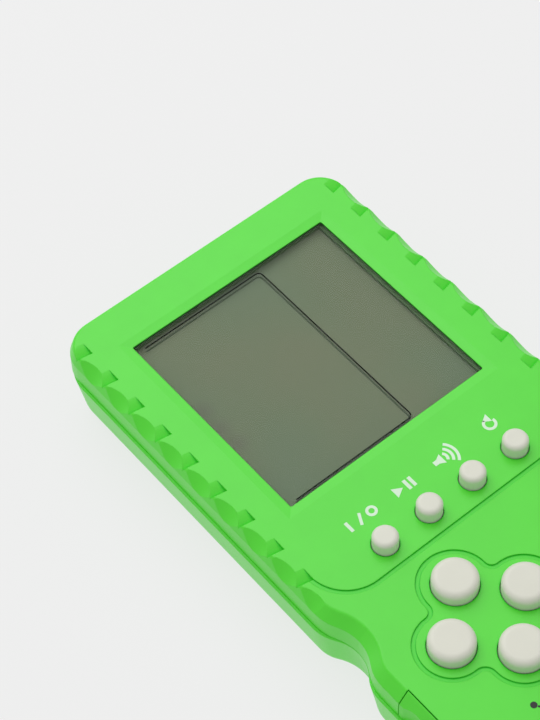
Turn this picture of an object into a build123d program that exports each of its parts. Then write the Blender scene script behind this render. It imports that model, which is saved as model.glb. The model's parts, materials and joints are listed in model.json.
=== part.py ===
from build123d import *
import math
import os

# Handheld game console, lying on its back.
# Origin: middle of the back face. +X to the right, +Y towards the screen end, +Z out of the front face.
# Lengths are in millimetres and angles in degrees.

# Screen window, the size that the rest of the front is set out from
window_width = 55.0
window_height = 55.3
window_corner_radius = 0.4
window_bevel_width = 2.3
window_bevel_drop = 0.3
top_border = 13.2
side_border = 12.1

# Case shells
wall = 2.0
face_thickness = 2.0
front_height = 7.7
front_draft = 1.5
rear_draft = 8.5
shell_step = 0.65
rim_height = 2.8
screen_rim_slope = 19.0
screen_rim_radius = 1.2
control_rim_slope = 39.0
control_rim_radius = 0.9
back_edge_radius = 5.0
cavity_edge_radius = 3.0
top_corner_radius = 8.0
rear_top_corner_radius = 10.0
bottom_corner_radius = 18.0
bottom_crown = 3.0
seam_chamfer = 0.2
ledge_radius = 0.4
lip_height = 1.0
lip_thickness = 0.9
lip_clearance = 0.1

# Waist between the screen end and the control end
waist_depth = 2.75
waist_drop = 6.7
waist_upper_run = 10.8
waist_lower_run = 10.7
control_flare = 0.45

# Notches along both long edges beside the screen, each above a point between two scallops
notch_count = 9
notch_pitch = 9.56
first_notch_rise = 32.7
notch_inset = 4.35
notch_long_run = 3.8
notch_edge_rise = 0.1
notch_crown = 0.25
notch_short_run = 0.5
notch_lower_drop = 0.6
notch_depth = 1.2
notch_slant = 11.0
notch_reach = 7.0
scallop_inset = 2.65
scallop_depth = 1.5
scallop_slope = 41.0

# Grooves on the front face
groove_width = 1.0
groove_depth = 0.35
panel_groove_drop = 6.0
panel_groove_radius = 10.5
panel_groove_step = 0.1

# Small buttons in a row below the screen
small_radius = 2.92
small_height = 3.55
small_pitch = 12.3
small_drop = 19.9
small_edge_radius = 1.1

# Direction buttons
direction_radius = 5.08
direction_height = 3.27
direction_reach = 10.2
direction_drop = 26.8
direction_x = -13.95
direction_edge_radius = 1.5
clover_radius = 7.75
clover_fillet = 2.2

# Rotate button
rotate_radius = 9.0
rotate_height = 3.6
rotate_x = 21.6
rotate_drop = 2.8
rotate_edge_radius = 1.6
rotate_groove_radius = 11.4

# What every button shares
button_travel = 1.4
button_clearance = 0.2
button_rise_gap = 0.1
flange_width = 1.0
flange_thickness = 1.0

# Key mats and their domes
mat_thickness = 0.8
mat_margin = 1.4
mat_corner_radius = 3.0
mat_clearance = 0.15
pressed_dome_height = 2.3
dome_wall = 0.7
dome_spread = 0.6
dome_draw_in = 0.6

# Control end
control_length = 44.7

# Grips in the sides of the control end
grip_drop = 5.1
grip_length = 29.0
grip_depth = 2.8
grip_clearance = 0.25
grip_backing = 1.8
grip_peg_radius = 1.0
grip_peg_length = 1.3
grip_peg_spread = 16.0
grip_scallop_count = 3
grip_scallop_length = 7.4
grip_scallop_depth = 0.8

# Screen stack, from the lens inwards
lens_thickness = 1.0
lens_rebate = 1.4
lens_margin = 2.9
lens_clearance = 0.2
gasket_thickness = 0.9
gasket_margin = 2.2
gasket_side_show = 0.6
gasket_end_set_back = 0.1
film_thickness = 0.2
film_margin = 1.3
glass_thickness = 1.1
glass_margin = 1.7
glass_ledge = 3.0
holder_wall = 0.9
holder_clearance = 0.2
zebra_width = 2.0
zebra_length = 50.0

# Main board
board_thickness = 1.2
board_lower_half_width = 33.0
board_shoulder_drop = 6.5
board_top_margin = 4.2
board_bay_overlap = 0.4
board_bay_gap = 0.3

# Battery bay and cells
cell_diameter = 10.5
cell_length = 44.5
cell_nub_radius = 1.9
cell_nub_length = 0.8
cell_gap = 0.9
cell_play = 0.35
bay_ceiling = 0.8
bay_wall = 1.6
bay_end_room = 3.3
bay_drop = 16.7

# Battery contacts
contact_thickness = 0.4
contact_width = 8.0
contact_height = 7.6
contact_stud_radius = 1.6
contact_tab_width = 2.4
contact_tab_length = 3.4
contact_tab_drop = 2.6
contact_clearance = 0.15
leaf_width = 5.0
leaf_height = 6.4
leaf_root = 0.6

# Battery door
door_thickness = 1.8
door_ledge = 1.0
door_gap = 0.2
door_lift = 0.1
door_corner_radius = 0.8
tongue_width = 6.0
tongue_length = 1.8
tongue_thickness = 0.9
tongue_spread = 30.0
tongue_lift = 0.2
door_part_gap = 0.4
latch_width = 9.0
latch_height = 3.4
latch_thickness = 0.8
latch_inset = 0.6
latch_nose = 0.25
latch_nose_height = 1.0
thumb_recess_radius = 7.0
thumb_recess_depth = 0.6
thumb_recess_inset = 4.0

# Speaker
speaker_radius = 13.5
speaker_height = 5.2
speaker_rim = 1.6
speaker_rim_height = 1.4
speaker_basket_wall = 0.6
speaker_magnet_radius = 7.0
speaker_magnet_height = 2.0
speaker_cone_wall = 0.3
speaker_cone_radius = 4.0
speaker_cone_gap = 0.3
speaker_rib_wall = 1.2
speaker_rib_height = 3.2
speaker_end_inset = 27.85
speaker_clearance = 0.2
slot_count = 5
slot_length = 16.0
slot_width = 1.6
slot_pitch = 3.6

# Case screws and their posts
post_radius = 3.0
post_wall = 1.2
post_bore_radius = 1.25
post_head_radius = 2.2
post_head_depth = 9.5
screw_radius = 1.05
screw_length = 8.2
screw_head_radius = 2.0
screw_head_height = 1.5
screw_recess_width = 0.5
screw_recess_depth = 0.7
pilot_clearance = 0.05
pilot_extra = 0.6
top_post_side_inset = 5.8
top_post_end_inset = 6.4
middle_post_inset = 5.2
middle_post_rise = 11.5
lower_post_inset = 11.1
lower_post_rise = 10.0

# Board screws and their bosses
boss_radius = 2.0
board_screw_radius = 0.8
board_screw_length = 4.4
board_screw_head_radius = 1.6
board_screw_head_height = 1.2
board_hole_clearance = 0.25
board_screw_upper_inset = 11.2
board_screw_upper_rise = 8.4
board_screw_lower_inset = 2.6
board_screw_lower_drop = 7.6
board_screw_middle_rise = 12.8
board_screw_top_gap = 2.6

# Parts on the board
blob_radius = 6.0
blob_height = 1.3
capacitor_radius = 2.5
capacitor_height = 5.6
resonator_width = 5.0
resonator_depth = 2.4
resonator_height = 4.0
resistor_length = 1.6
resistor_width = 0.8
resistor_height = 0.5
resistor_pitch = 2.2
resistor_count = 8
resistor_x = 8.0
capacitor_x = -18.0
resonator_x = -8.0
parts_row_drop = 27.0
blob_drop = 16.0

# Leads
lead_radius = 0.55
lead_step = 1.6
lead_end_run = 2.2
lead_bend_share = 0.45
terminal_width = 2.4
terminal_length = 2.0
terminal_thickness = 0.8
terminal_spread = 7.0

# Any cut runs past its face by this much
overrun = 1.0

# Levels above the back face, worked out from the stack of parts
door_top = door_thickness
cell_bottom = door_thickness + door_lift + cell_play
cell_axis = cell_bottom + cell_diameter / 2
bay_top = cell_bottom + cell_diameter + cell_play
bay_ceiling_top = bay_top + bay_ceiling
board_bottom = bay_ceiling_top + board_bay_gap
board_top = board_bottom + board_thickness
dome_top = board_top + pressed_dome_height + button_travel
face_inside = dome_top + flange_thickness + button_rise_gap
case_depth = face_inside + face_thickness
seam_level = case_depth - front_height
lens_top = face_inside + lens_rebate
lens_bottom = lens_top - lens_thickness
gasket_bottom = lens_bottom - gasket_thickness
front_glass_top = gasket_bottom - film_thickness
rear_glass_top = front_glass_top - glass_thickness
rear_glass_bottom = rear_glass_top - glass_thickness

# Places along the case, worked out from the screen downwards
small_below_screen = window_height / 2 + small_drop
direction_below_screen = small_below_screen + direction_drop
case_length = window_height / 2 + top_border + direction_below_screen + control_length
case_end = case_length / 2
screen_y = case_end - top_border - window_height / 2
small_y = screen_y - small_below_screen
direction_y = screen_y - direction_below_screen
rotate_y = direction_y - rotate_drop
panel_groove_y = small_y - panel_groove_drop
waist_y = panel_groove_y - waist_drop
waist_start_y = waist_y + waist_upper_run
waist_end_y = waist_y - waist_lower_run
grip_top_y = waist_end_y - grip_drop
bay_y = direction_y - bay_drop
first_notch_y = screen_y + first_notch_rise
speaker_y = case_end - speaker_end_inset

# Half widths of the front shell at the seam
upper_half_width = window_width / 2 + side_border
lower_half_width = upper_half_width + control_flare
waist_half_width = upper_half_width - waist_depth

# Screen sizes
lens_size = (window_width + 2 * lens_margin, window_height + 2 * lens_margin)
glass_width = window_width + 2 * glass_margin
front_glass_height = window_height + 2 * glass_margin + glass_ledge
rear_glass_height = front_glass_height - 2 * glass_ledge
holder_inside = (glass_width + 2 * holder_clearance, front_glass_height + 2 * holder_clearance)
holder_outside = (holder_inside[0] + 2 * holder_wall, holder_inside[1] + 2 * holder_wall)

# Battery bay sizes
bay_length = cell_length + 2 * bay_end_room
bay_width = 2 * cell_diameter + cell_gap + 2 * cell_play
cell_pitch = cell_diameter + cell_gap
door_length = bay_length + 2 * door_ledge
door_width = bay_width + 2 * door_ledge
ledge_level = door_top + door_lift
tongue_low = wall + tongue_lift


def s_bend(start, end):
    """Two equal arcs from start to end that leave and arrive along the length of the case."""
    middle = (Vector(*start) + Vector(*end)) / 2
    first = TangentArc([start, (middle.X, middle.Y)], tangent=(0, -1))
    second = TangentArc([(middle.X, middle.Y), end], tangent=first % 1)
    return [first, second]


def case_outline(margin=0, step=0, corner_radius=top_corner_radius):
    """Plan of the case at the seam, moved outwards by margin; step widens it except at the waist."""
    upper = upper_half_width + step
    lower = lower_half_width + step
    corner = (lower, bottom_crown - case_end)
    side = [Line((upper, case_end), (upper, waist_start_y))]
    side += s_bend((upper, waist_start_y), (waist_half_width, waist_y))
    side += s_bend((waist_half_width, waist_y), (lower, waist_end_y))
    side += [Line((lower, waist_end_y), corner)]
    edges = [Line((upper, case_end), (-upper, case_end))]
    edges += [mirror(edge, about=Plane.YZ) for edge in side]
    edges += [ThreePointArc((-corner[0], corner[1]), (0, -case_end), corner)]
    edges += side
    plan = make_face(Curve() + edges)
    by_height = plan.vertices().sort_by(Axis.Y)
    plan = fillet(by_height[-2:], corner_radius)
    plan = fillet(plan.vertices().sort_by(Axis.Y)[:2], bottom_corner_radius)
    return offset(plan, amount=margin) if margin else plan


def slab(plan, low, high):
    """Straight solid between two levels over a plan."""
    return extrude(Plane.XY.offset(low) * plan, amount=high - low, dir=(0, 0, 1))


def rod(radius, low, high, x=0, y=0):
    """Upright cylinder between two levels."""
    return slab(Pos(x, y) * Circle(radius), low, high)


def block(x_ends, y_ends, z_ends):
    """Box given by its two ends along each axis."""
    size = [ends[1] - ends[0] for ends in (x_ends, y_ends, z_ends)]
    low = (x_ends[0], y_ends[0], z_ends[0])
    return Pos(*low) * Box(*size, align=(Align.MIN, Align.MIN, Align.MIN))


def both_sides(solid):
    """A solid with its mirror image across the middle of the case."""
    return Part() + [solid, mirror(solid, about=Plane.YZ)]


def post_places():
    """Middles of the six case screws."""
    top = (upper_half_width - top_post_side_inset, case_end - top_post_end_inset)
    middle = (upper_half_width - middle_post_inset, small_y + middle_post_rise)
    lower = (lower_half_width - lower_post_inset, lower_post_rise - case_end)
    return [(side * x, y) for x, y in (top, middle, lower) for side in (-1, 1)]


def mat_half_size(radius):
    """Reach of a key mat past the middle of its outermost button."""
    return radius + dome_spread + mat_margin


def board_screw_places():
    """Middles of the screws that hold the main board to the front shell."""
    upper_x = upper_half_width - board_screw_upper_inset
    upper_y = small_y + board_screw_upper_rise
    lower_x = board_lower_half_width - board_screw_lower_inset
    lower_y = bay_y - board_screw_lower_drop
    left_mat_edge = direction_x + direction_reach + mat_half_size(direction_radius)
    right_mat_edge = rotate_x - mat_half_size(rotate_radius)
    middle_x = (left_mat_edge + right_mat_edge) / 2
    middle_y = direction_y + board_screw_middle_rise
    top_y = screen_y + holder_outside[1] / 2 + board_screw_top_gap
    places = [(middle_x, middle_y), (0, top_y)]
    for side in (-1, 1):
        places += [(side * upper_x, upper_y), (side * lower_x, lower_y)]
    return places


def button_places():
    """Name, middle, radius, height and edge radius of every button."""
    small = ("power", "start", "sound", "reset")
    first_x = -small_pitch * (len(small) - 1) / 2
    places = {}
    for index, name in enumerate(small):
        middle = (first_x + index * small_pitch, small_y)
        places[name] = (middle, small_radius, small_height, small_edge_radius)
    steps = {"up": (0, 1), "left": (-1, 0), "right": (1, 0), "down": (0, -1)}
    for name, step in steps.items():
        middle = (direction_x + step[0] * direction_reach, direction_y + step[1] * direction_reach)
        places[name] = (middle, direction_radius, direction_height, direction_edge_radius)
    places["rotate"] = ((rotate_x, rotate_y), rotate_radius, rotate_height, rotate_edge_radius)
    return places


def scallop_level():
    """Place along the case of the scallop below the last notch."""
    return notch_levels()[-1] - notch_pitch / 2


def scallops():
    """Upright cones that round the screen end's rim between the points."""
    radius = ((notch_pitch / 2) ** 2 + scallop_depth**2) / (2 * scallop_depth)
    height = rim_height + overrun
    change = math.tan(math.radians(scallop_slope))
    x = upper_half_width - scallop_inset + radius
    align = (Align.CENTER, Align.CENTER, Align.MIN)
    cone = Cone(radius - height * change, radius + overrun * change, height + overrun, align=align)
    cuts = []
    for index in range(notch_count):
        y = scallop_level() + index * notch_pitch
        cuts.append(Pos(x, y, case_depth - height) * cone)
    return both_sides(Part() + cuts)


def front_form():
    """Outer form of the front shell, with a steep rim at the screen end and a sloping one below."""
    plan = Plane.XY.offset(seam_level) * case_outline()
    base = extrude(plan, front_height - rim_height, dir=(0, 0, 1), taper=front_draft)
    rim_start = base.faces().sort_by(Axis.Z)[-1]
    base = chamfer(base.faces().sort_by(Axis.Z)[0].edges(), seam_chamfer)
    form = Part()
    screen_rim = (screen_rim_slope, screen_rim_radius, Align.MIN)
    control_rim = (control_rim_slope, control_rim_radius, Align.MAX)
    for slope, radius, side in (screen_rim, control_rim):
        half = base + extrude(rim_start, rim_height, dir=(0, 0, 1), taper=slope)
        half = fillet(half.faces().sort_by(Axis.Z)[-1].edges(), radius)
        kept = Rectangle(case_length, case_length, align=(Align.CENTER, side))
        form += half & slab(Pos(0, scallop_level()) * kept, 0, case_depth + overrun)
    return form - scallops()


def front_cavity():
    """Space inside the front shell, up to the inside of its face."""
    plan = Plane.XY.offset(seam_level) * case_outline(-wall)
    return extrude(plan, face_inside - seam_level, dir=(0, 0, 1), taper=front_draft)


def rear_form():
    """Outer form of the rear shell, without holes."""
    outline = case_outline(step=shell_step, corner_radius=rear_top_corner_radius)
    form = extrude(Plane.XY.offset(seam_level) * outline, seam_level, dir=(0, 0, 1), taper=rear_draft)
    form = fillet(form.faces().sort_by(Axis.Z)[-1].edges(), back_edge_radius)
    form = fillet(form.faces().sort_by(Axis.Z)[0].edges(), ledge_radius)
    return mirror(form, about=Plane.XY.offset(seam_level))


def rear_cavity():
    """Space inside the rear shell, down to the inside of its floor."""
    plan = Plane.XY.offset(seam_level) * case_outline(-wall)
    form = extrude(plan, seam_level - wall, dir=(0, 0, 1), taper=rear_draft)
    form = fillet(form.faces().sort_by(Axis.Z)[-1].edges(), cavity_edge_radius)
    return mirror(form, about=Plane.XY.offset(seam_level))


def grip_ends(gap=0):
    """Ends of a grip along the case, drawn in by a gap."""
    return (grip_top_y - grip_length + gap, grip_top_y - gap)


def grip_space(gap=0, inset=0):
    """Box that holds the right-hand grip, or its backing when inset is given."""
    inner = lower_half_width - grip_depth + gap - inset
    x_ends = (inner, lower_half_width + overrun)
    low, high = grip_ends(gap)
    return block(x_ends, (low - inset, high + inset), (seam_level - overrun, case_depth + overrun))


def grip_pegs(radius, length):
    """Pegs that point inwards from the right-hand grip."""
    inner = lower_half_width - grip_depth + grip_clearance
    level = (seam_level + face_inside) / 2
    middle_y = grip_top_y - grip_length / 2
    pegs = Part()
    for side in (-1, 1):
        start = Plane(origin=(inner, middle_y + side * grip_peg_spread / 2, level), z_dir=(-1, 0, 0))
        pegs += extrude(start * Circle(radius), length)
    return pegs


def notch_section(x, y):
    """Section of a notch on a plane across the case at x, with its lower edge at y on the face."""
    deepest = Vector(y + notch_short_run, case_depth - notch_depth)
    upper = deepest + Vector(notch_long_run, notch_depth + notch_edge_rise)
    across = (upper - deepest).normalized().rotate(Axis.Z, 90)
    middle = (deepest + upper) / 2 + across * notch_crown
    top = case_depth + overrun
    lower = (y - notch_short_run * overrun / notch_depth, top)
    floor = ThreePointArc(deepest, middle, upper)
    walls = Polyline(upper, (upper.X, top), lower, deepest)
    plane = Plane(origin=(x, 0, 0), x_dir=(0, 1, 0), z_dir=(1, 0, 0))
    return plane * make_face(Curve() + [floor, walls])


def notch_levels():
    """Places along the case of the points below the notches."""
    return [first_notch_y - index * notch_pitch for index in range(notch_count)]


def notches():
    """Wedge-shaped notches through the rim on both sides, each just above a point."""
    inner = upper_half_width - notch_inset
    outer = inner + notch_reach
    shift = notch_reach * math.tan(math.radians(notch_slant))
    cuts = []
    for level in notch_levels():
        y = level - notch_lower_drop
        cuts.append(loft([notch_section(inner, y), notch_section(outer, y + shift)], ruled=True))
    return both_sides(Part() + cuts)


def ring_plan(plan):
    """Band of the groove's width along the outline of a plan."""
    return offset(plan, amount=groove_width / 2) - offset(plan, amount=-groove_width / 2)


def clover_plan():
    """Four round lobes about the direction buttons, with eased inner corners."""
    lobes = [
        Pos(side_x * direction_reach, side_y * direction_reach) * Circle(clover_radius)
        for side_x, side_y in ((0, 1), (-1, 0), (1, 0), (0, -1))
    ]
    plan = Circle(direction_reach - direction_radius / 2) + lobes
    return Pos(direction_x, direction_y) * fillet(plan.vertices(), clover_fillet)


def grooves():
    """Grooves below the small buttons and around the direction and rotate buttons."""
    half_width = upper_half_width - notch_inset + groove_width / 2 + panel_groove_step
    panel_height = screen_y - panel_groove_y
    panel = RectangleRounded(2 * half_width, panel_height, panel_groove_radius)
    panel = Pos(0, panel_groove_y + panel_height / 2) * panel
    below_notches = Rectangle(case_length, case_length, align=(Align.CENTER, Align.MAX))
    plan = ring_plan(panel) & (Pos(0, notch_levels()[-1]) * below_notches)
    plan += ring_plan(clover_plan())
    plan += ring_plan(Pos(rotate_x, rotate_y) * Circle(rotate_groove_radius))
    return slab(plan, case_depth - groove_depth, case_depth + overrun)


def window():
    """Opening over the screen, with a shallow bevel all round."""
    hole = RectangleRounded(window_width, window_height, window_corner_radius)
    bevel_angle = math.degrees(math.atan2(window_bevel_width, window_bevel_drop))
    start = Plane.XY.offset(case_depth - window_bevel_drop) * Rectangle(window_width, window_height)
    bevel = extrude(start, 2 * window_bevel_drop, taper=-bevel_angle)
    rebate = Rectangle(lens_size[0] + 2 * lens_clearance, lens_size[1] + 2 * lens_clearance)
    cuts = slab(hole, face_inside - overrun, case_depth + overrun) + bevel
    return Pos(0, screen_y) * (cuts + slab(rebate, face_inside - overrun, lens_top))


def front_shell():
    """Front half of the case, with its face, notches, grip pockets and bosses."""
    cavity = front_cavity() - both_sides(grip_space(inset=grip_backing))
    shell = front_form() - cavity
    for x, y in post_places():
        shell += rod(post_radius, seam_level, face_inside + face_thickness / 2, x, y)
    for x, y in board_screw_places():
        shell += rod(boss_radius, board_top, face_inside + face_thickness / 2, x, y)
    cuts = [window(), grooves(), notches(), both_sides(grip_space())]
    cuts.append(both_sides(grip_pegs(grip_peg_radius + grip_clearance, grip_backing + overrun)))
    for middle, radius, height, edge in button_places().values():
        cuts.append(rod(radius + button_clearance, face_inside - overrun, case_depth + overrun, *middle))
    pilot_radius = screw_radius + pilot_clearance
    pilot_top = post_head_depth + screw_length + pilot_extra
    for x, y in post_places():
        cuts.append(rod(pilot_radius, seam_level - overrun, pilot_top, x, y))
    pilot_radius = board_screw_radius + pilot_clearance
    pilot_top = board_bottom + board_screw_length + pilot_extra
    for x, y in board_screw_places():
        cuts.append(rod(pilot_radius, board_top - overrun, pilot_top, x, y))
    rebate = case_outline(lip_thickness + lip_clearance - wall) - case_outline(-wall)
    rebate = slab(rebate, seam_level - overrun, seam_level + lip_height + lip_clearance)
    cuts.append(rebate - both_sides(grip_space(inset=grip_backing)))
    for cut in cuts:
        shell -= cut
    return shell


def bay_block(margin, low, high):
    """Box about the middle of the battery bay, wider than the bay by margin on each side."""
    half_length = bay_length / 2 + margin
    half_width = bay_width / 2 + margin
    return block((-half_length, half_length), (bay_y - half_width, bay_y + half_width), (low, high))


def tongue_middles():
    return (-tongue_spread / 2, tongue_spread / 2)


def bay_notches():
    """Gaps in the walls of the battery bay for the tongues, the latch and the contact tabs."""
    gaps = Part()
    upper = bay_y + bay_width / 2
    lower = bay_y - bay_width / 2
    upper_ends = (upper - overrun, upper + bay_wall + tongue_length)
    ledge_ends = (upper - overrun, upper + door_ledge + door_gap)
    tongue_half = tongue_width / 2 + door_part_gap
    swing_top = math.hypot(tongue_length, tongue_low + tongue_thickness) + door_part_gap
    for x in tongue_middles():
        x_ends = (x - tongue_half, x + tongue_half)
        gaps += block(x_ends, upper_ends, (wall, swing_top))
        gaps += block(x_ends, ledge_ends, (ledge_level - overrun, wall))
    latch_half = latch_width / 2 + door_part_gap
    latch_top = door_top + latch_height + door_part_gap
    latch_ends = (lower - door_ledge - door_gap, lower + overrun)
    gaps += block((-latch_half, latch_half), latch_ends, (door_top, latch_top))
    tab_level = contact_tab_level()
    tab_half = contact_tab_width / 2 + contact_clearance
    tab_levels = (tab_level - contact_clearance, tab_level + contact_thickness + contact_clearance)
    tab_ends = (-bay_length / 2 - bay_wall - overrun, overrun - bay_length / 2)
    for y in cell_middles():
        gaps += block(tab_ends, (y - tab_half, y + tab_half), tab_levels)
    return gaps


def cell_middles():
    """Places along the case of the two cells, the upper one first."""
    return (bay_y + cell_pitch / 2, bay_y - cell_pitch / 2)


def contact_tab_level():
    return cell_axis - contact_tab_drop


def speaker_slots():
    slots = Part()
    for index in range(slot_count):
        y = speaker_y + (index - (slot_count - 1) / 2) * slot_pitch
        slots += slab(Pos(0, y) * SlotOverall(slot_length, slot_width), -overrun, wall + overrun)
    return slots


def rear_shell():
    """Rear half of the case, with its battery bay, speaker grille, screw posts and lip."""
    outer = rear_form()
    shell = outer - rear_cavity()
    rib_inside = speaker_radius + speaker_clearance
    rib = Circle(rib_inside + speaker_rib_wall) - Circle(rib_inside)
    shell += slab(Pos(0, speaker_y) * rib, wall / 2, wall + speaker_rib_height)
    posts = Part()
    for x, y in post_places():
        posts += rod(post_head_radius + post_wall, 0, seam_level, x, y)
    shell += posts & outer
    lip = case_outline(lip_thickness - wall) - case_outline(-wall)
    lip = slab(lip, seam_level - wall / 2, seam_level + lip_height)
    shell += lip - both_sides(grip_space(inset=grip_backing + lip_clearance))
    for x, y in post_places():
        shell -= rod(post_head_radius, -overrun, post_head_depth, x, y)
        shell -= rod(post_bore_radius, 0, seam_level + overrun, x, y)
    shell -= bay_block(door_ledge + door_gap, -overrun, wall + overrun)
    shell += bay_block(bay_wall, ledge_level, bay_ceiling_top)
    shell -= bay_block(0, -overrun, bay_top)
    shell -= bay_notches()
    return shell - speaker_slots()


def grip():
    """Right-hand grip, which lies in its pocket in the front shell."""
    piece = front_form() & grip_space(gap=grip_clearance)
    scallop_half = grip_scallop_length / 2
    radius = (scallop_half**2 + grip_scallop_depth**2) / (2 * grip_scallop_depth)
    x = lower_half_width - grip_scallop_depth + radius
    low, high = grip_ends()
    pitch = (high - low) / grip_scallop_count
    for index in range(grip_scallop_count):
        y = low + (index + 1 / 2) * pitch
        piece -= rod(radius, seam_level - overrun, case_depth + overrun, x, y)
    return piece + grip_pegs(grip_peg_radius, grip_peg_length)


def battery_door():
    """Door under the battery bay, with two tongues, a latch and a thumb recess."""
    plan = Pos(0, bay_y) * RectangleRounded(door_length, door_width, door_corner_radius)
    door = slab(plan, 0, door_top)
    upper = bay_y + door_width / 2
    lower = bay_y - door_width / 2
    tongue_top = tongue_low + tongue_thickness
    for x in tongue_middles():
        x_ends = (x - tongue_width / 2, x + tongue_width / 2)
        door += block(x_ends, (upper - door_ledge, upper), (door_top, tongue_top))
        door += block(x_ends, (upper - door_ledge, upper + tongue_length), (tongue_low, tongue_top))
    x_ends = (-latch_width / 2, latch_width / 2)
    latch_top = door_top + latch_height
    outside = lower + latch_inset
    door += block(x_ends, (outside, outside + latch_thickness), (door_top, latch_top))
    nose = (outside - latch_nose, outside)
    door += block(x_ends, nose, (latch_top - 2 * latch_nose_height, latch_top - latch_nose_height))
    round_half = Rectangle(2 * thumb_recess_radius, thumb_recess_radius, align=(Align.CENTER, Align.MIN))
    thumb = Pos(0, lower + thumb_recess_inset) * (Circle(thumb_recess_radius) & round_half)
    return door - slab(thumb, -overrun, thumb_recess_depth)


def screen_lens():
    return slab(Pos(0, screen_y) * Rectangle(*lens_size), lens_bottom, lens_top)


def screen_gasket():
    """Dark foam frame behind the lens; its right side shows a little inside the window."""
    outside = Rectangle(window_width + 2 * gasket_margin, window_height + 2 * gasket_margin)
    inside = Pos(-gasket_side_show, 0)
    inside *= Rectangle(window_width, window_height + 2 * gasket_end_set_back)
    return slab(Pos(0, screen_y) * (outside - inside), gasket_bottom, lens_bottom)


def screen_film(low):
    """Thin film over one face of the glass."""
    size = (window_width + 2 * film_margin, rear_glass_height)
    return slab(Pos(0, screen_y) * Rectangle(*size), low, low + film_thickness)


def front_glass():
    plan = Rectangle(glass_width, front_glass_height)
    return slab(Pos(0, screen_y) * plan, rear_glass_top, front_glass_top)


def rear_glass():
    plan = Rectangle(glass_width, rear_glass_height)
    return slab(Pos(0, screen_y) * plan, rear_glass_bottom, rear_glass_top)


def screen_holder():
    """Frame that stands on the board around the glass."""
    plan = Rectangle(*holder_outside) - Rectangle(*holder_inside)
    return slab(Pos(0, screen_y) * plan, board_top, front_glass_top)


def zebra_strip(side):
    """Rubber strip that joins the glass to the board, above or below the screen."""
    middle = side * (rear_glass_height / 2 + glass_ledge / 2)
    plan = Pos(0, screen_y + middle) * Rectangle(zebra_length, zebra_width)
    return slab(plan, board_top, rear_glass_top)


def main_board():
    """Circuit board that carries the screen, the key mats and the chip."""
    top = screen_y + holder_outside[1] / 2 + board_top_margin
    shoulder = small_y - board_shoulder_drop
    low = bay_y - bay_width / 2 - board_bay_overlap
    align = (Align.CENTER, Align.MIN)
    upper_plan = Pos(0, shoulder) * Rectangle(holder_outside[0], top - shoulder, align=align)
    lower_plan = Pos(0, low) * Rectangle(2 * board_lower_half_width, shoulder - low, align=align)
    board = slab(upper_plan + lower_plan, board_bottom, board_top)
    hole_radius = board_screw_radius + board_hole_clearance
    for x, y in board_screw_places():
        board -= rod(hole_radius, board_bottom - overrun, board_top + overrun, x, y)
    return board


def button_cap(name):
    """One button, with the flange that keeps it in the case."""
    middle, radius, height, edge = button_places()[name]
    stem = rod(radius, dome_top + flange_thickness / 2, case_depth + height, *middle)
    stem = fillet(stem.faces().sort_by(Axis.Z)[-1].edges(), edge)
    return stem + rod(radius + flange_width, dome_top, dome_top + flange_thickness, *middle)


def key_dome(name):
    """Rubber dome under one button."""
    middle, radius, height, edge = button_places()[name]
    rise = dome_top - board_top
    base = radius + dome_spread
    crown = radius - dome_draw_in
    align = (Align.CENTER, Align.CENTER, Align.MIN)
    outside = Cone(base, crown, rise, align=align)
    inside = Cone(base - dome_wall, crown - dome_wall, rise - dome_wall, align=align)
    return Pos(*middle, board_top) * (outside - inside)


def key_mat(names):
    """Rubber sheet around the domes of a group of buttons."""
    places = [button_places()[name] for name in names]
    reach = mat_half_size(places[0][1])
    xs = [middle[0] for middle, radius, height, edge in places]
    ys = [middle[1] for middle, radius, height, edge in places]
    size = (max(xs) - min(xs) + 2 * reach, max(ys) - min(ys) + 2 * reach)
    middle = ((max(xs) + min(xs)) / 2, (max(ys) + min(ys)) / 2)
    mat_top = board_top + mat_thickness
    sheet = slab(Pos(*middle) * RectangleRounded(*size, mat_corner_radius), board_top, mat_top)
    for place, radius, height, edge in places:
        hole_radius = radius + dome_spread + mat_clearance
        sheet -= rod(hole_radius, board_top - overrun, mat_top + overrun, *place)
    return sheet


def chip_blob():
    """Bead of resin over the chip on the underside of the board."""
    blob_bottom = board_bottom - blob_height
    sphere_radius = (blob_radius**2 + blob_height**2) / (2 * blob_height)
    ball = Pos(0, 0, blob_bottom + sphere_radius) * Sphere(sphere_radius)
    cap = ball & rod(blob_radius, blob_bottom, board_bottom)
    return Pos(0, screen_y - blob_drop, 0) * cap


def filter_capacitor():
    y = screen_y - parts_row_drop
    can = rod(capacitor_radius, board_bottom - capacitor_height, board_bottom, capacitor_x, y)
    return fillet(can.faces().sort_by(Axis.Z)[0].edges(), capacitor_radius / 6)


def clock_resonator():
    plan = Pos(resonator_x, screen_y - parts_row_drop) * SlotOverall(resonator_width, resonator_depth)
    return slab(plan, board_bottom - resonator_height, board_bottom)


def chip_resistors():
    row = Part()
    for index in range(resistor_count):
        plan = Pos(resistor_x + index * resistor_pitch, screen_y - parts_row_drop)
        plan *= Rectangle(resistor_width, resistor_length)
        row += slab(plan, board_bottom - resistor_height, board_bottom)
    return row


def funnel(base_radius, crown_radius, rise, thickness):
    """Wall of a cone that narrows upwards from the floor of the case, given by its inside."""
    align = (Align.CENTER, Align.CENTER, Align.MIN)
    outside = Cone(base_radius + thickness, crown_radius + thickness, rise, align=align)
    inside = Cone(base_radius, crown_radius, rise, align=align)
    return Pos(0, 0, wall) * (outside - inside)


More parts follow.
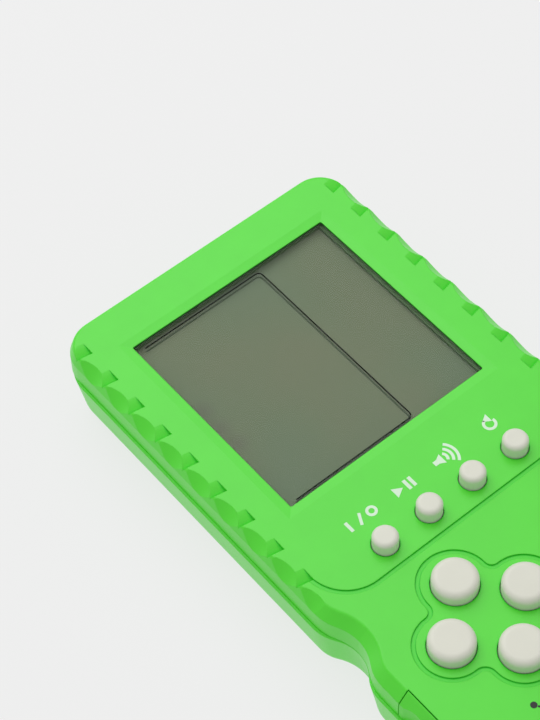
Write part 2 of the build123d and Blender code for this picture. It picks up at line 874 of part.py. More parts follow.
def speaker_frame():
    """Rim, basket and solder terminals of the speaker, which faces the grille."""
    rim_top = wall + speaker_rim_height
    rise = speaker_height - speaker_magnet_height
    inside_radius = speaker_radius - speaker_rim
    crown_radius = speaker_magnet_radius - speaker_basket_wall
    rim = slab(Circle(speaker_radius) - Circle(inside_radius), wall, rim_top)
    frame = rim + funnel(inside_radius, crown_radius, rise, speaker_basket_wall)
    for side in (-1, 1):
        x = side * terminal_spread / 2
        y_ends = (speaker_rim / 2 - speaker_radius, speaker_rim / 2 - speaker_radius + terminal_length)
        x_ends = (x - terminal_width / 2, x + terminal_width / 2)
        frame += block(x_ends, y_ends, (rim_top - speaker_rim_height / 2, rim_top + terminal_thickness))
    return Pos(0, speaker_y) * frame


def speaker_magnet():
    low = wall + speaker_height - speaker_magnet_height
    return rod(speaker_magnet_radius, low, wall + speaker_height, 0, speaker_y)


def speaker_cone():
    """Paper cone inside the basket, with its flat middle towards the magnet."""
    base_radius = speaker_radius - speaker_rim - speaker_cone_gap - speaker_cone_wall
    crown_radius = speaker_cone_radius - speaker_cone_wall
    rise = speaker_height - speaker_magnet_height - speaker_cone_gap - speaker_cone_wall
    cone = funnel(base_radius, crown_radius, rise, speaker_cone_wall)
    cone += rod(speaker_cone_radius, wall + rise - speaker_cone_wall, wall + rise)
    return Pos(0, speaker_y) * cone


def lead(low, high):
    """Insulated wire that leaves low upwards, steps across and meets high from below."""
    points = [Vector(*low), Vector(low[0], low[1], low[2] + lead_end_run)]
    points += [Vector(high[0], high[1], high[2] - lead_end_run), Vector(*high)]
    runs = [(end - start) for start, end in zip(points, points[1:])]
    turn = math.radians(runs[0].get_angle(runs[1]))
    radius = lead_bend_share * min(run.length for run in runs) / math.tan(turn / 2)
    print("lead bend radius", round(radius, 2))
    path = FilletPolyline(*points, radius=radius)
    start = Plane(origin=path @ 0, z_dir=path % 0)
    return sweep(start * Circle(lead_radius), path=path)


def speaker_leads():
    leads = Part()
    level = wall + speaker_rim_height + terminal_thickness
    y = speaker_y - speaker_radius + speaker_rim / 2 + terminal_length / 2
    for side in (-1, 1):
        x = side * terminal_spread / 2
        leads += lead((x, y, level), (x + side * lead_step, y - 2 * lead_step, board_bottom))
    return leads


def battery_leads():
    leads = Part()
    x = lead_radius - bay_length / 2 - contact_tab_length
    level = contact_tab_level() + contact_thickness
    for y in cell_middles():
        leads += lead((x, y, level), (x - lead_step / 2, y + lead_step, board_bottom))
    return leads


def contact_plate(y_ends, side):
    """Flat part of a battery contact against one end wall of the bay."""
    inner = bay_length / 2 - contact_thickness
    x_ends = (inner, bay_length / 2) if side > 0 else (-bay_length / 2, -inner)
    return block(x_ends, y_ends, (cell_axis - contact_height / 2, cell_axis + contact_height / 2))


def contact_reach():
    """How far a contact stands out from its plate towards the cell."""
    return bay_end_room - contact_thickness - contact_clearance


def contact_stud(y, side):
    """Pressed stud that meets a cell's positive end."""
    inner = side * (bay_length / 2 - contact_thickness)
    start = Plane(origin=(inner, y, cell_axis), z_dir=(-side, 0, 0))
    return extrude(start * Circle(contact_stud_radius), contact_reach())


def contact_leaf(y, side):
    """Bowed leaf that presses on a cell's negative end."""
    half = leaf_height / 2
    inner_half = half - leaf_root
    reach = contact_reach()
    outside = ThreePointArc((0, -half), (reach, 0), (0, half))
    inside = ThreePointArc((0, inner_half), (reach - contact_thickness, 0), (0, -inner_half))
    ends = [Line((0, half), (0, inner_half)), Line((0, -inner_half), (0, -half))]
    profile = make_face(Curve() + [outside, ends[0], inside, ends[1]])
    inner = side * (bay_length / 2 - contact_thickness)
    frame = Plane(origin=(inner, y, cell_axis), x_dir=(-side, 0, 0), z_dir=(0, side, 0))
    return extrude(frame * profile, leaf_width / 2, both=True)


def contact_tab(y):
    """Solder tab that passes out through the end wall of the bay."""
    level = contact_tab_level()
    outer = -bay_length / 2 - contact_tab_length
    inner = contact_thickness - bay_length / 2
    y_ends = (y - contact_tab_width / 2, y + contact_tab_width / 2)
    return block((outer, inner), y_ends, (level, level + contact_thickness))


def positive_contact():
    y = cell_middles()[0]
    y_ends = (y - contact_width / 2, y + contact_width / 2)
    return contact_plate(y_ends, -1) + contact_stud(y, -1) + contact_tab(y)


def negative_contact():
    y = cell_middles()[1]
    y_ends = (y - contact_width / 2, y + contact_width / 2)
    return contact_plate(y_ends, -1) + contact_leaf(y, -1) + contact_tab(y)


def bridge_contact():
    upper, lower = cell_middles()
    plate = contact_plate((lower - contact_width / 2, upper + contact_width / 2), 1)
    return plate + contact_leaf(upper, 1) + contact_stud(lower, 1)


def battery_cell(y, side):
    """Dry cell lying across the case, with its positive nub towards side."""
    body_length = cell_length - cell_nub_length
    start = Plane(origin=(-side * cell_length / 2, y, cell_axis), z_dir=(side, 0, 0))
    body = extrude(start * Circle(cell_diameter / 2), body_length)
    return body + extrude(start * Circle(cell_nub_radius), cell_length)


def screw(x, y, seat, radius, length, head_radius, head_height):
    """Screw that points up from its seat, with a cross recess in its head."""
    head = rod(head_radius, seat - head_height, seat, x, y)
    head = fillet(head.faces().sort_by(Axis.Z)[0].edges(), head_height / 3)
    bar = Rectangle(head_radius, screw_recess_width)
    cross = Pos(x, y) * (bar + Rot(0, 0, 90) * bar)
    head -= slab(cross, seat - head_height - overrun, seat - head_height + screw_recess_depth)
    return head + rod(radius, seat - head_height / 3, seat + length, x, y)


def case_screws():
    size = (screw_radius, screw_length, screw_head_radius, screw_head_height)
    return Part() + [screw(x, y, post_head_depth, *size) for x, y in post_places()]


def board_screws():
    size = (board_screw_radius, board_screw_length, board_screw_head_radius, board_screw_head_height)
    return Part() + [screw(x, y, board_bottom, *size) for x, y in board_screw_places()]


def make_parts():
    """Every piece of the console by its name."""
    right_grip = grip()
    upper_cell_y, lower_cell_y = cell_middles()
    parts = {
        "front_shell": front_shell(),
        "rear_shell": rear_shell(),
        "right_grip": right_grip,
        "left_grip": mirror(right_grip, about=Plane.YZ),
        "battery_door": battery_door(),
        "screen_lens": screen_lens(),
        "screen_gasket": screen_gasket(),
        "front_film": screen_film(front_glass_top),
        "front_glass": front_glass(),
        "rear_glass": rear_glass(),
        "reflector_film": screen_film(rear_glass_bottom - film_thickness),
        "screen_holder": screen_holder(),
        "upper_zebra_strip": zebra_strip(1),
        "lower_zebra_strip": zebra_strip(-1),
        "main_board": main_board(),
        "chip_blob": chip_blob(),
        "filter_capacitor": filter_capacitor(),
        "clock_resonator": clock_resonator(),
        "chip_resistors": chip_resistors(),
        "small_key_mat": key_mat(("power", "start", "sound", "reset")),
        "direction_key_mat": key_mat(("up", "left", "right", "down")),
        "rotate_key_mat": key_mat(("rotate",)),
        "speaker_frame": speaker_frame(),
        "speaker_cone": speaker_cone(),
        "speaker_magnet": speaker_magnet(),
        "speaker_leads": speaker_leads(),
        "positive_contact": positive_contact(),
        "negative_contact": negative_contact(),
        "bridge_contact": bridge_contact(),
        "upper_battery": battery_cell(upper_cell_y, -1),
        "lower_battery": battery_cell(lower_cell_y, 1),
        "battery_leads": battery_leads(),
        "case_screws": case_screws(),
        "board_screws": board_screws(),
    }
    for name in button_places():
        parts[name + "_button"] = button_cap(name)
        parts[name + "_dome"] = key_dome(name)
    return parts


if __name__ == "__main__":
    os.makedirs("parts", exist_ok=True)
    for name, piece in make_parts().items():
        export_step(piece, "parts/" + name + ".step")
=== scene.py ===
import json
import math

import bpy
from mathutils import Matrix, Quaternion, Vector


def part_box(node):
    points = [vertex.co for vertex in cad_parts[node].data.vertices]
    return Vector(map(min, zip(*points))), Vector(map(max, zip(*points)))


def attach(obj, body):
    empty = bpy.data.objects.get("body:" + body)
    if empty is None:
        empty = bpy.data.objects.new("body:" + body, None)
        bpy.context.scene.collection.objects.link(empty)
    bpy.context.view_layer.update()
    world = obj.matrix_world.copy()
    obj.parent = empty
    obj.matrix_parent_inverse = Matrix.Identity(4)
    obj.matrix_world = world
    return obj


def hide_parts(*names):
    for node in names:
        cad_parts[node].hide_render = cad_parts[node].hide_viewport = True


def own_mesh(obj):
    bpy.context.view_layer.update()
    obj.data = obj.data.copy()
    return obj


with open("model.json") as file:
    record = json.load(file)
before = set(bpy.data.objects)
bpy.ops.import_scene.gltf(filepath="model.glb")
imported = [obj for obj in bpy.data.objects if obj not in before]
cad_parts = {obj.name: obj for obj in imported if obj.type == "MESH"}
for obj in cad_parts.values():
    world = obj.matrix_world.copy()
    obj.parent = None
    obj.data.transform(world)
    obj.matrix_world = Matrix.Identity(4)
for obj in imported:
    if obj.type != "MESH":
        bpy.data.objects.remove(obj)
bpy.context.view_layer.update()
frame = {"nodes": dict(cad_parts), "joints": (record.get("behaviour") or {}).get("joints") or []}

# Lengths are in metres in the scene, and the values below are millimetres times this
mm = 0.001

# Camera, fitted to the photo's window, buttons and outline
camera_place = Vector((-178.9, -189.0, 424.0)) * mm
camera_target = Vector((-6.6, 43.8, 22.2)) * mm
camera_roll = math.radians(-3.68)
camera_sensor = 24.0
camera_lens = 74.53

# Floor and light
floor_size = 6000 * mm
floor_level = -0.05 * mm
floor_tone = 0.12
floor_glow = 0.75
horizon_strength = 0.35
zenith_strength = 0.72
key_place = Vector((60, 560, 720)) * mm
key_size = 1000 * mm
key_power = 3.8

# Window, display film, face and cell, read from the frame
lens_low, lens_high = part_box("screen_lens")
window_middle = (lens_low + lens_high) / 2
film_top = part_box("front_film")[1].z
face_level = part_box("front_shell")[1].z
cell_low, cell_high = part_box("upper_battery")
cell_half_length = (cell_high.x - cell_low.x) / 2

# Printed line on the display and its shadow: left, right, top and bottom about the middle of the window
line_ends = (-24.7 * mm, 8.42 * mm, 26.9 * mm, -25.95 * mm)
shadow_ends = (-25.1 * mm, 7.78 * mm, 26.05 * mm, -26.35 * mm)
line_corner = 1.2 * mm
line_width = 0.34 * mm
line_rise = 0.15 * mm
line_thickness = 0.02 * mm
shadow_width = 0.42 * mm
shadow_rise = 0.05 * mm

# Painted reflections on the display, faint purple-brown patches: place about the middle of the window
# and radius, in millimetres
reflection_patches = ((-25.5, 5.0, 3.4), (-25.8, -1.0, 3.8), (-25.0, -6.5, 3.2))
reflection_patch_strength = 0.3

# White marks above the small buttons
mark_rise = 7.95 * mm
mark_height = 2.7 * mm
mark_stroke = 0.68 * mm
ink_thickness = 0.03 * mm

# Number of straight steps along an arc, at a corner of the display's line and round a dot
arc_steps = 24
corner_steps = 8
dot_steps = 16

# A mitre grows as a stroke turns more sharply, up to half the stroke's width divided by this
mitre_limit = 0.3

# Painted shade: how near a facing wall darkens the case's colour in grooves and inner corners, how far
# below its face, and how fully
crease_shade_reach = 0.7 * mm
crease_shade_depth = 1.3 * mm
crease_shade_share = 1.0

# Openness of a groove or corner at which the painted shade is full, and at which it ends
crease_shade_full = 0.6
crease_shade_end = 0.98

# Share of light that a clear sheet mirrors face on, and how late that grows towards grazing views
face_on_mirror = 0.04
mirror_power = 5.0

# Size of the soft clouds in the floor, display, clear sheets and cells, and of the display's speckle
floor_cloud = 220 * mm
display_cloud = 28 * mm
smear_cloud = 14 * mm
sleeve_cloud = 1.5 * mm
speckle_size = 0.12 * mm

# How far the sheen of moulded plastic varies about its roughness
sheen_change = 0.04

# How fine the rubber's stripes and the board's tracks are, as texture scales
stripe_scale = 300.0
track_scale = 220.0

# Black burst of rays printed on the control end
burst_middle = Vector((-14.0, -66.0)) * mm
burst_inner = 4.4 * mm
burst_long = 12.2 * mm
burst_short = 8.6 * mm
burst_stroke = 0.45 * mm
burst_dot = 0.75 * mm
burst_rays = 12
burst_turn = 123.0
star_radius = 3.2 * mm
star_waist_share = 0.42
star_points = 5


def colour(red, green, blue):
    """Linear colour from the usual 0 to 255 display values."""
    def linear(value):
        share = value / 255
        return share / 12.92 if share <= 0.04045 else ((share + 0.055) / 1.055) ** 2.4
    return (linear(red), linear(green), linear(blue), 1.0)


def tinted(base, factor):
    """A colour made lighter or darker by a factor."""
    return tuple(min(1.0, channel * factor) for channel in base[:3]) + (1.0,)


class Surface:
    """A node material built from a few steps."""

    def __init__(self, name, roughness=0.4, metallic=0.0, **shader_values):
        self.material = bpy.data.materials.new(name)
        self.material.use_nodes = True
        self.nodes = self.material.node_tree.nodes
        self.links = self.material.node_tree.links
        self.shader = self.nodes["Principled BSDF"]
        self.output = self.nodes["Material Output"]
        self.shader.inputs["Roughness"].default_value = roughness
        self.shader.inputs["Metallic"].default_value = metallic
        for socket, value in shader_values.items():
            self.shader.inputs[socket.replace("_", " ")].default_value = value
        self.place = self.nodes.new("ShaderNodeTexCoord").outputs["Object"]

    def add(self, kind, settings=(), values=(), links=()):
        """A new node with its settings, socket values and incoming links."""
        node = self.nodes.new(kind)
        for key, value in dict(settings).items():
            setattr(node, key, value)
        for key, value in dict(values).items():
            node.inputs[key].default_value = value
        for key, source in dict(links).items():
            self.links.new(source, node.inputs[key])
        return node

    def noise(self, size, detail=2.0, place=None):
        """Soft noise whose clouds are about size across."""
        node = self.add("ShaderNodeTexNoise", values={"Scale": 1 / size, "Detail": detail})
        self.links.new(place or self.place, node.inputs["Vector"])
        return node.outputs["Fac"]

    def scaled(self, factors):
        """The place, times a factor along each axis."""
        node = self.add("ShaderNodeMapping", values={"Scale": factors}, links={"Vector": self.place})
        return node.outputs["Vector"]

    def ramp(self, factor, stops):
        """Colour that follows a factor through stops of place and colour."""
        node = self.add("ShaderNodeValToRGB", links={"Fac": factor})
        elements = node.color_ramp.elements
        while len(elements) < len(stops):
            elements.new(1.0)
        for element, (position, tone) in zip(elements, stops):
            element.position = position
            element.color = tone
        return node.outputs["Color"]

    def level(self, factor, low, high, start=0.3, end=0.7):
        """Number that runs from low to high as the factor runs from start to end."""
        values = {"From Min": start, "From Max": end, "To Min": low, "To Max": high}
        node = self.add("ShaderNodeMapRange", values=values, links={"Value": factor})
        return node.outputs["Result"]

    def mixed(self, blend, amount, first, second):
        """Two colours mixed by an amount; each may be a value or come from another node."""
        node = self.add("ShaderNodeMix", {"data_type": "RGBA", "blend_type": blend})
        for index, source in ((0, amount), (6, first), (7, second)):
            if isinstance(source, bpy.types.NodeSocket):
                self.links.new(source, node.inputs[index])
            else:
                node.inputs[index].default_value = source
        return node.outputs[2]

    def feed(self, socket, source):
        """Links a source to one of the shader's sockets."""
        self.links.new(source, self.shader.inputs[socket])

    def bump(self, height, depth, edge_radius=0):
        """Fine relief, with the edges rounded to edge_radius."""
        links = {"Height": height}
        if edge_radius:
            edge = self.add("ShaderNodeBevel", {"samples": 4}, {"Radius": edge_radius})
            links["Normal"] = edge.outputs["Normal"]
        node = self.add("ShaderNodeBump", values={"Strength": 1.0, "Distance": depth}, links=links)
        self.feed("Normal", node.outputs["Normal"])


def plastic(name, tone, roughness, variation=0.03, cloud=9 * mm, grain=0.35 * mm, depth=0.004 * mm,
            edge_radius=0, painted_crease_shade=None, **shader_values):
    """Moulded plastic or rubber: slight clouds in its colour, and a fine grain in relief and sheen.

    With a tone for painted shade, narrow grooves and inner corners near the face are darkened towards
    that tone.
    """
    surface = Surface(name, **shader_values)
    clouds = surface.noise(cloud, 3.0)
    stops = ((0.3, tinted(tone, 1 - variation)), (0.7, tinted(tone, 1 + variation)))
    base = surface.ramp(clouds, stops)
    if painted_crease_shade:
        # Painted shade: ambient occlusion near the face darkens grooves and inner corners
        crease_occlusion = surface.add("ShaderNodeAmbientOcclusion", {"samples": 8}, {"Distance": crease_shade_reach})
        amount = surface.level(crease_occlusion.outputs["AO"], crease_shade_share, 0.0, crease_shade_full, crease_shade_end)
        rise = surface.add("ShaderNodeSeparateXYZ", links={"Vector": surface.place}).outputs["Z"]
        lowest = face_level - crease_shade_depth
        near_face = surface.level(rise, 0.0, 1.0, lowest, lowest + crease_shade_depth / 2)
        product_links = {0: amount, 1: near_face}
        amount = surface.add("ShaderNodeMath", {"operation": "MULTIPLY"}, links=product_links)
        base = surface.mixed("MIX", amount.outputs["Value"], base, painted_crease_shade)
    surface.feed("Base Color", base)
    grain_noise = surface.noise(grain, 4.0)
    sheen = surface.level(grain_noise, roughness - sheen_change, roughness + sheen_change)
    surface.feed("Roughness", sheen)
    surface.bump(grain_noise, depth, edge_radius)
    return surface.material


def metal(name, tone, roughness, factors=(1, 1, 1), grain=0.2 * mm, depth=0.004 * mm):
    """Plated or brushed metal with streaks along the axis whose factor is smallest."""
    surface = Surface(name, metallic=1.0)
    streaks = surface.noise(grain, 3.0, surface.scaled(factors))
    stops = ((0.3, tinted(tone, 0.85)), (0.7, tinted(tone, 1.1)))
    surface.feed("Base Color", surface.ramp(streaks, stops))
    surface.feed("Roughness", surface.level(streaks, roughness - 0.08, roughness + 0.1))
    surface.bump(streaks, depth)
    return surface.material


def clear(name, tint, gloss=1.0):
    """Clear sheet: light passes straight through, and its face mirrors more towards grazing views."""
    surface = Surface(name)
    surface.nodes.remove(surface.shader)
    smears = surface.noise(smear_cloud)
    through = surface.add("ShaderNodeBsdfTransparent", values={"Color": tint})
    mirror_links = {"Roughness": surface.level(smears, 0.02, 0.06)}
    mirror_values = {"Color": (gloss, gloss, gloss, 1)}
    mirror = surface.add("ShaderNodeBsdfGlossy", values=mirror_values, links=mirror_links)
    facing = surface.add("ShaderNodeLayerWeight", values={"Blend": 0.5}).outputs["Facing"]
    steep = surface.add("ShaderNodeMath", {"operation": "POWER"}, {1: mirror_power}, {0: facing})
    share = surface.level(steep.outputs["Value"], face_on_mirror, 1.0, 0.0, 1.0)
    mix_links = {0: share, 1: through.outputs["BSDF"], 2: mirror.outputs["BSDF"]}
    mix = surface.add("ShaderNodeMixShader", links=mix_links)
    surface.links.new(mix.outputs["Shader"], surface.output.inputs["Surface"])
    return surface.material


def display_film():
    """Grey-green display, a little browner in clouds, with fine speckle and a few faint painted
    reflections.
    """
    surface = Surface("display_film", Specular_IOR_Level=0.06)
    clouds = surface.noise(display_cloud, 1.5)
    tones = ((0.25, colour(122, 142, 117)), (0.5, colour(129, 143, 115)), (0.75, colour(135, 143, 116)))
    tone = surface.ramp(clouds, tones)
    speckle = surface.noise(speckle_size)
    speckle_tone = surface.ramp(speckle, ((0.3, (0.94, 0.94, 0.94, 1)), (0.7, (1, 1, 1, 1))))
    tone = surface.mixed("MULTIPLY", 1.0, tone, speckle_tone)
    # Painted reflection: purple-brown patches mixed into the display's colour
    reflection_patch_tone = colour(112, 96, 104)
    for x, y, radius in reflection_patches:
        place = window_middle + Vector((x, y, 0)) * mm
        place.z = film_top
        settings = {"operation": "DISTANCE"}
        links = {0: surface.place}
        distance = surface.add("ShaderNodeVectorMath", settings, {1: place}, links).outputs["Value"]
        amount = surface.level(distance, reflection_patch_strength, 0.0, 0.0, radius * mm)
        tone = surface.mixed("MIX", amount, tone, reflection_patch_tone)
    surface.feed("Base Color", tone)
    surface.feed("Roughness", surface.level(clouds, 0.42, 0.55))
    surface.bump(speckle, 0.002 * mm)
    return surface.material


def striped_rubber():
    """Thin dark layers of conducting rubber between pale ones, across the strip's length."""
    surface = Surface("striped_rubber", roughness=0.7)
    settings = {"bands_direction": "X"}
    wave = surface.add("ShaderNodeTexWave", settings, {"Scale": stripe_scale}, {"Vector": surface.place})
    tones = ((0.35, colour(215, 140, 140)), (0.65, colour(40, 36, 36)))
    surface.feed("Base Color", surface.ramp(wave.outputs["Fac"], tones))
    surface.bump(wave.outputs["Fac"], 0.01 * mm)
    return surface.material


def circuit_board():
    """Brown resin board with a net of green tracks."""
    surface = Surface("circuit_board", roughness=0.35)
    settings = {"feature": "DISTANCE_TO_EDGE"}
    links = {"Vector": surface.place}
    cells = surface.add("ShaderNodeTexVoronoi", settings, {"Scale": track_scale}, links)
    track = cells.outputs["Distance"]
    tones = ((0.04, colour(60, 120, 60)), (0.07, colour(150, 110, 60)))
    surface.feed("Base Color", surface.ramp(track, tones))
    surface.bump(track, 0.02 * mm)
    return surface.material


def cell_sleeve():
    """Plain blue sleeve with a pale band near one end and bare steel at the ends."""
    surface = Surface("cell_sleeve", roughness=0.3)
    split = surface.add("ShaderNodeSeparateXYZ", links={"Vector": surface.place})
    along = surface.level(split.outputs["X"], 0.0, 1.0, -cell_half_length, cell_half_length)
    bare = colour(190, 190, 188)
    blue = colour(40, 70, 150)
    pale = colour(220, 222, 225)
    stops = ((0.0, bare), (0.03, blue), (0.14, pale), (0.2, blue), (0.97, bare))
    bands = surface.ramp(along, stops)
    bands.node.color_ramp.interpolation = "CONSTANT"
    surface.feed("Base Color", bands)
    surface.bump(surface.noise(sleeve_cloud), 0.01 * mm)
    return surface.material


def flat_floor():
    """Pale matt surface that the console lies on, with an even glow, and open to a view from below."""
    surface = Surface("floor", roughness=0.9, Specular_IOR_Level=0.1)
    clouds = surface.noise(floor_cloud)
    grey = (floor_tone, floor_tone, floor_tone)
    stops = ((0.3, tinted(grey, 0.97)), (0.7, tinted(grey, 1.0)))
    surface.feed("Base Color", surface.ramp(clouds, stops))
    surface.shader.inputs["Emission Color"].default_value = (1, 1, 1, 1)
    surface.shader.inputs["Emission Strength"].default_value = floor_glow
    from_below = surface.add("ShaderNodeNewGeometry").outputs["Backfacing"]
    open_side = surface.add("ShaderNodeBsdfTransparent").outputs["BSDF"]
    mix_links = {0: from_below, 1: surface.shader.outputs["BSDF"], 2: open_side}
    mix = surface.add("ShaderNodeMixShader", links=mix_links)
    surface.links.new(mix.outputs["Shader"], surface.output.inputs["Surface"])
    return surface.material


def paint(node, material):
    """Gives one CAD node its material."""
    slots = frame["nodes"][node].data.materials
    slots.clear()
    slots.append(material)


def inked(name, outlines, level, thickness, material):
    """Thin flat piece filled within closed outlines; an outline inside another is a hole."""
    curve = bpy.data.curves.new(name, "CURVE")
    curve.dimensions = "2D"
    curve.fill_mode = "BOTH"
    curve.extrude = thickness / 2 / mm
    for outline in outlines:
        spline = curve.splines.new("POLY")
        spline.points.add(len(outline) - 1)
        for point, (x, y) in zip(spline.points, outline):
            point.co = (x / mm, y / mm, 0, 1)
        spline.use_cyclic_u = True
    source = bpy.data.objects.new(name, curve)
    mesh = bpy.data.meshes.new_from_object(source)
    bpy.data.objects.remove(source)
    mesh.transform(Matrix.Translation((0, 0, level + thickness / 2)) @ Matrix.Scale(mm, 4))
    mesh.materials.clear()
    mesh.materials.append(material)
    piece = bpy.data.objects.new(name, mesh)
    bpy.context.scene.collection.objects.link(piece)
    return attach(piece, "case")


def arc_points(middle, radius, start, end, steps=arc_steps):
    """Points on an arc, with its two angles in degrees."""
    angles = [math.radians(start + (end - start) * index / steps) for index in range(steps + 1)]
    return [(middle[0] + radius * math.cos(a), middle[1] + radius * math.sin(a)) for a in angles]


def arc_band(middle, radius, start, end, width):
    """Outline of a round stroke."""
    outer = arc_points(middle, radius + width / 2, start, end)
    inner = arc_points(middle, radius - width / 2, end, start)
    return outer + inner


def stroke(points, width):
    """Outline of a band of the given width along a line of points, mitred at its turns."""
    left = []
    right = []
    for index, point in enumerate(points):
        here = Vector(point)
        before = Vector(points[index - 1]) if index else None
        after = Vector(points[index + 1]) if index + 1 < len(points) else None
        into = (here - before).normalized() if before else (after - here).normalized()
        out = (after - here).normalized() if after else into
        across = Vector((-(into + out).y, (into + out).x)).normalized()
        reach = width / 2 / max(mitre_limit, across.dot(Vector((-into.y, into.x))))
        left.append(tuple(here + across * reach))
        right.append(tuple(here - across * reach))
    return left + right[::-1]


def display_line(ends, corner):
    """Open frame on the display: along the top, down the right side and back along the bottom."""
    left, right, top, bottom = ends
    x, y = window_middle.x, window_middle.y
    points = [(x + left, y + top)]
    points += arc_points((x + right - corner, y + top - corner), corner, 90, 0, corner_steps)
    points += arc_points((x + right - corner, y + bottom + corner), corner, 0, -90, corner_steps)
    points.append((x + left, y + bottom))
    return points


def power_mark(middle, size):
    """A bar, a slash and a ring, the usual signs for on and off."""
    x, y = middle
    half = size / 2
    step = size * 1.15
    return [
        stroke([(x - step, y - half), (x - step, y + half)], mark_stroke * 1.15),
        stroke([(x - half / 2, y - half), (x + half / 2, y + half)], mark_stroke),
        arc_points((x + step, y), half, 0, 360)[:-1],
        arc_points((x + step, y), half - mark_stroke, 0, 360)[:-1],
    ]


def start_mark(middle, size):
    """A triangle and two bars, for start and pause."""
    x, y = middle
    half = size / 2
    bar = mark_stroke * 1.2
    return [
        [(x - size, y - half), (x - size * 0.15, y), (x - size, y + half)],
        stroke([(x + size * 0.3, y - half), (x + size * 0.3, y + half)], bar),
        stroke([(x + size * 0.8, y - half), (x + size * 0.8, y + half)], bar),
    ]


def sound_mark(middle, size):
    """A loudspeaker with three waves."""
    x, y = middle
    half = size / 2
    side = half * 0.45
    back = x - size * 1.4
    step = x - size * 1.0
    front = x - size * 0.5
    upper = [(front, y + half), (step, y + side), (back, y + side)]
    lower = [(back, y - side), (step, y - side), (front, y - half)]
    waves = [size * share for share in (0.5, 0.95, 1.4)]
    wave_middle = (x - size * 0.6, y)
    return [lower + upper] + [arc_band(wave_middle, radius, -45, 45, mark_stroke) for radius in waves]


def reset_mark(middle, size):
    """A round arrow."""
    x, y = middle
    radius = size * 0.5
    reach = size * 0.42
    tip_x = x + reach * 0.2
    tip_y = y + radius
    back_x = tip_x + reach * 0.6
    return [
        arc_band(middle, radius, 110, 380, mark_stroke),
        [(tip_x - reach, tip_y), (back_x, tip_y + reach), (back_x, tip_y - reach)],
    ]


def burst():
    """Rays with round ends about a star."""
    outlines = []
    for index in range(burst_rays):
        angle = math.radians(burst_turn + 360 * index / burst_rays)
        reach = burst_short if index % 2 else burst_long
        along = Vector((math.cos(angle), math.sin(angle)))
        ends = [burst_middle + along * burst_inner, burst_middle + along * (reach - burst_dot)]
        outlines.append(stroke([tuple(end) for end in ends], burst_stroke))
        dot_middle = burst_middle + along * (reach + burst_dot / 8)
        outlines.append(arc_points(dot_middle, burst_dot, 0, 360, dot_steps)[:-1])
    star = []
    for index in range(2 * star_points):
        angle = math.radians(90 + 180 * index / star_points)
        reach = star_radius * (star_waist_share if index % 2 else 1)
        star.append((burst_middle.x + reach * math.cos(angle), burst_middle.y + reach * math.sin(angle)))
    return outlines + [star]


def soft_dome(button):
    """A button's rubber dome, copied as a piece of its own that the case carries in place of the dome
    itself.
    """
    node = button + "_dome"
    piece = bpy.data.objects.new(button + "_soft_dome", frame["nodes"][node].data.copy())
    bpy.context.scene.collection.objects.link(piece)
    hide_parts(node)
    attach(piece, "case")
    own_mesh(piece)


def add_floor():
    """The flat floor, just below the console's back."""
    half = floor_size / 2
    mesh = bpy.data.meshes.new("floor")
    corners = [(x * half, y * half, floor_level) for x, y in ((-1, -1), (1, -1), (1, 1), (-1, 1))]
    mesh.from_pydata(corners, [], [(0, 1, 2, 3)])
    mesh.materials.append(flat_floor())
    floor = bpy.data.objects.new("floor", mesh)
    bpy.context.scene.collection.objects.link(floor)


def add_light():
    """Pale surroundings, brighter overhead, and one large soft light."""
    scene = bpy.context.scene
    world = bpy.data.worlds.new("surroundings")
    world.use_nodes = True
    nodes = world.node_tree.nodes
    links = world.node_tree.links
    direction = nodes.new("ShaderNodeTexCoord")
    split = nodes.new("ShaderNodeSeparateXYZ")
    rise = nodes.new("ShaderNodeMapRange")
    rise.inputs["To Min"].default_value = horizon_strength
    rise.inputs["To Max"].default_value = zenith_strength
    background = nodes["Background"]
    background.inputs["Color"].default_value = (1, 1, 1, 1)
    links.new(direction.outputs["Generated"], split.inputs["Vector"])
    links.new(split.outputs["Z"], rise.inputs["Value"])
    links.new(rise.outputs["Result"], background.inputs["Strength"])
    scene.world = world
    scene.view_settings.view_transform = "Standard"
    data = bpy.data.lights.new("key", "AREA")
    data.shape = "DISK"
    data.size = key_size
    data.energy = key_power
    key = bpy.data.objects.new("key", data)
    key.location = key_place
    key.rotation_euler = (window_middle - key_place).to_track_quat("-Z", "Y").to_euler()
    scene.collection.objects.link(key)


def add_camera():
    """The camera at the photo's viewing angle."""
    data = bpy.data.cameras.new("camera")
    data.sensor_fit = "VERTICAL"
    data.sensor_height = camera_sensor
    data.lens = camera_lens
    camera = bpy.data.objects.new("camera", data)
    aim = (camera_target - camera_place).to_track_quat("-Z", "Y")
    camera.rotation_euler = (aim @ Quaternion((0, 0, 1), camera_roll)).to_euler()
    camera.location = camera_place
    bpy.context.scene.collection.objects.link(camera)
    bpy.context.scene.camera = camera


# Materials of the case, grips, buttons and rubber
green = colour(87, 228, 54)
# Darker green painted as shade in the grooves and inner corners of the case and grips
painted_shade_green = colour(36, 214, 32)
case_plastic = plastic("case_plastic", green, 0.34, variation=0.02, edge_radius=0.3 * mm,
                       painted_crease_shade=painted_shade_green)
grip_plastic = plastic("grip_plastic", tinted(green, 0.95), 0.42, variation=0.03, grain=0.5 * mm,
                       depth=0.01 * mm, painted_crease_shade=painted_shade_green)
button_plastic = plastic("button_plastic", colour(229, 229, 215), 0.42, variation=0.015,
                         edge_radius=0.15 * mm)
rubber = plastic("key_rubber", colour(215, 214, 208), 0.6)
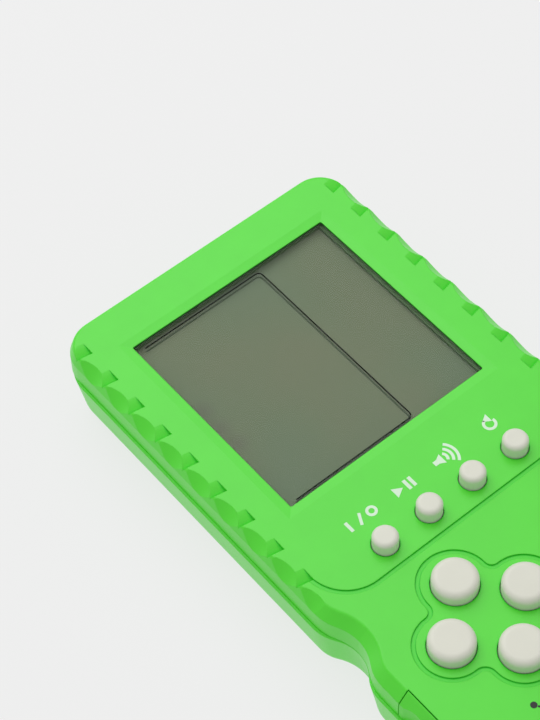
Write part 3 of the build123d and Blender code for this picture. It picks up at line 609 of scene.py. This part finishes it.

# Materials of the pieces inside; the foam is grey green, which paints the shade and green bounce light
# of the band round the display
holder_plastic = plastic("holder_plastic", colour(225, 225, 220), 0.5)
# Painted shade and bounce light: the foam's pale grey green stands in for the dim, green-lit band round
# the display
black_foam = plastic("black_foam", colour(108, 136, 98), 0.9, variation=0.1, grain=0.2 * mm,
                     depth=0.008 * mm, Specular_IOR_Level=0.15)
black_resin = plastic("black_resin", colour(20, 20, 20), 0.15, variation=0.1)
ceramic = plastic("ceramic", colour(214, 120, 40), 0.3, variation=0.08)
capacitor_sleeve = plastic("capacitor_sleeve", colour(30, 34, 70), 0.3, variation=0.1)
wire_sleeve = plastic("wire_sleeve", colour(180, 30, 24), 0.45, variation=0.05)
reflector = plastic("reflector_film", colour(130, 138, 118), 0.4, variation=0.03)
speaker_paper = plastic("speaker_paper", colour(35, 33, 31), 0.9, variation=0.2, grain=0.3 * mm,
                        depth=0.05 * mm)
steel = metal("plated_steel", colour(190, 190, 188), 0.35)
spring_plate = metal("spring_plate", colour(205, 203, 196), 0.22, factors=(0.1, 1, 1))
screw_steel = metal("screw_steel", colour(170, 170, 172), 0.3, factors=(1, 1, 0.2))

# Inks
white_ink = plastic("white_ink", colour(222, 248, 220), 0.5, variation=0.03, grain=0.2 * mm)
black_ink = plastic("black_ink", colour(24, 24, 24), 0.4, variation=0.1, grain=0.2 * mm)
display_ink = plastic("display_ink", colour(18, 24, 18), 0.6, variation=0.1, Specular_IOR_Level=0.05)
shadow_ink = plastic("shadow_ink", colour(86, 100, 80), 0.6, variation=0.05, Specular_IOR_Level=0.05)

# Lens and display
display_material = display_film()
lens_material = clear("clear_lens", (0.97, 0.98, 0.97, 1), gloss=0.15)
glass_material = clear("display_glass", (0.9, 0.94, 0.9, 1))

finishes = {
    "front_shell": case_plastic, "rear_shell": case_plastic, "battery_door": case_plastic,
    "right_grip": grip_plastic, "left_grip": grip_plastic,
    "screen_lens": lens_material, "screen_gasket": black_foam, "front_film": display_material,
    "front_glass": glass_material, "rear_glass": glass_material, "reflector_film": reflector,
    "screen_holder": holder_plastic, "upper_zebra_strip": striped_rubber(),
    "main_board": circuit_board(), "chip_blob": black_resin, "filter_capacitor": capacitor_sleeve,
    "clock_resonator": ceramic, "chip_resistors": black_resin, "speaker_frame": steel,
    "speaker_magnet": steel,
    "speaker_cone": speaker_paper, "speaker_leads": wire_sleeve, "battery_leads": wire_sleeve,
    "positive_contact": spring_plate, "negative_contact": spring_plate, "bridge_contact": spring_plate,
    "upper_battery": cell_sleeve(), "case_screws": screw_steel, "board_screws": screw_steel,
}
finishes["lower_zebra_strip"] = finishes["upper_zebra_strip"]
finishes["lower_battery"] = finishes["upper_battery"]
for name in frame["nodes"]:
    if name.endswith("_button"):
        finishes[name] = button_plastic
    elif name.endswith("_dome") or name.endswith("_key_mat"):
        finishes[name] = rubber
for name in frame["nodes"]:
    paint(name, finishes[name])

line_level = film_top + line_rise
line_outline = stroke(display_line(line_ends, line_corner), line_width)
inked("display_line", [line_outline], line_level, line_thickness, display_ink)
shadow_level = film_top + shadow_rise
shadow_outline = stroke(display_line(shadow_ends, line_corner), shadow_width)
inked("display_line_shadow", [shadow_outline], shadow_level, line_thickness, shadow_ink)

marks = {"power": power_mark, "start": start_mark, "sound": sound_mark, "reset": reset_mark}
for name, draw in marks.items():
    low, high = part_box(name + "_button")
    middle = ((low.x + high.x) / 2, (low.y + high.y) / 2 + mark_rise)
    outlines = draw(middle, mark_height)
    inked(name + "_mark", outlines, face_level, ink_thickness, white_ink)
inked("burst_print", burst(), face_level, ink_thickness, black_ink)

for joint in frame["joints"]:
    if joint["name"].endswith("_press"):
        soft_dome(joint["name"][:-len("_press")])

add_floor()
add_light()
add_camera()
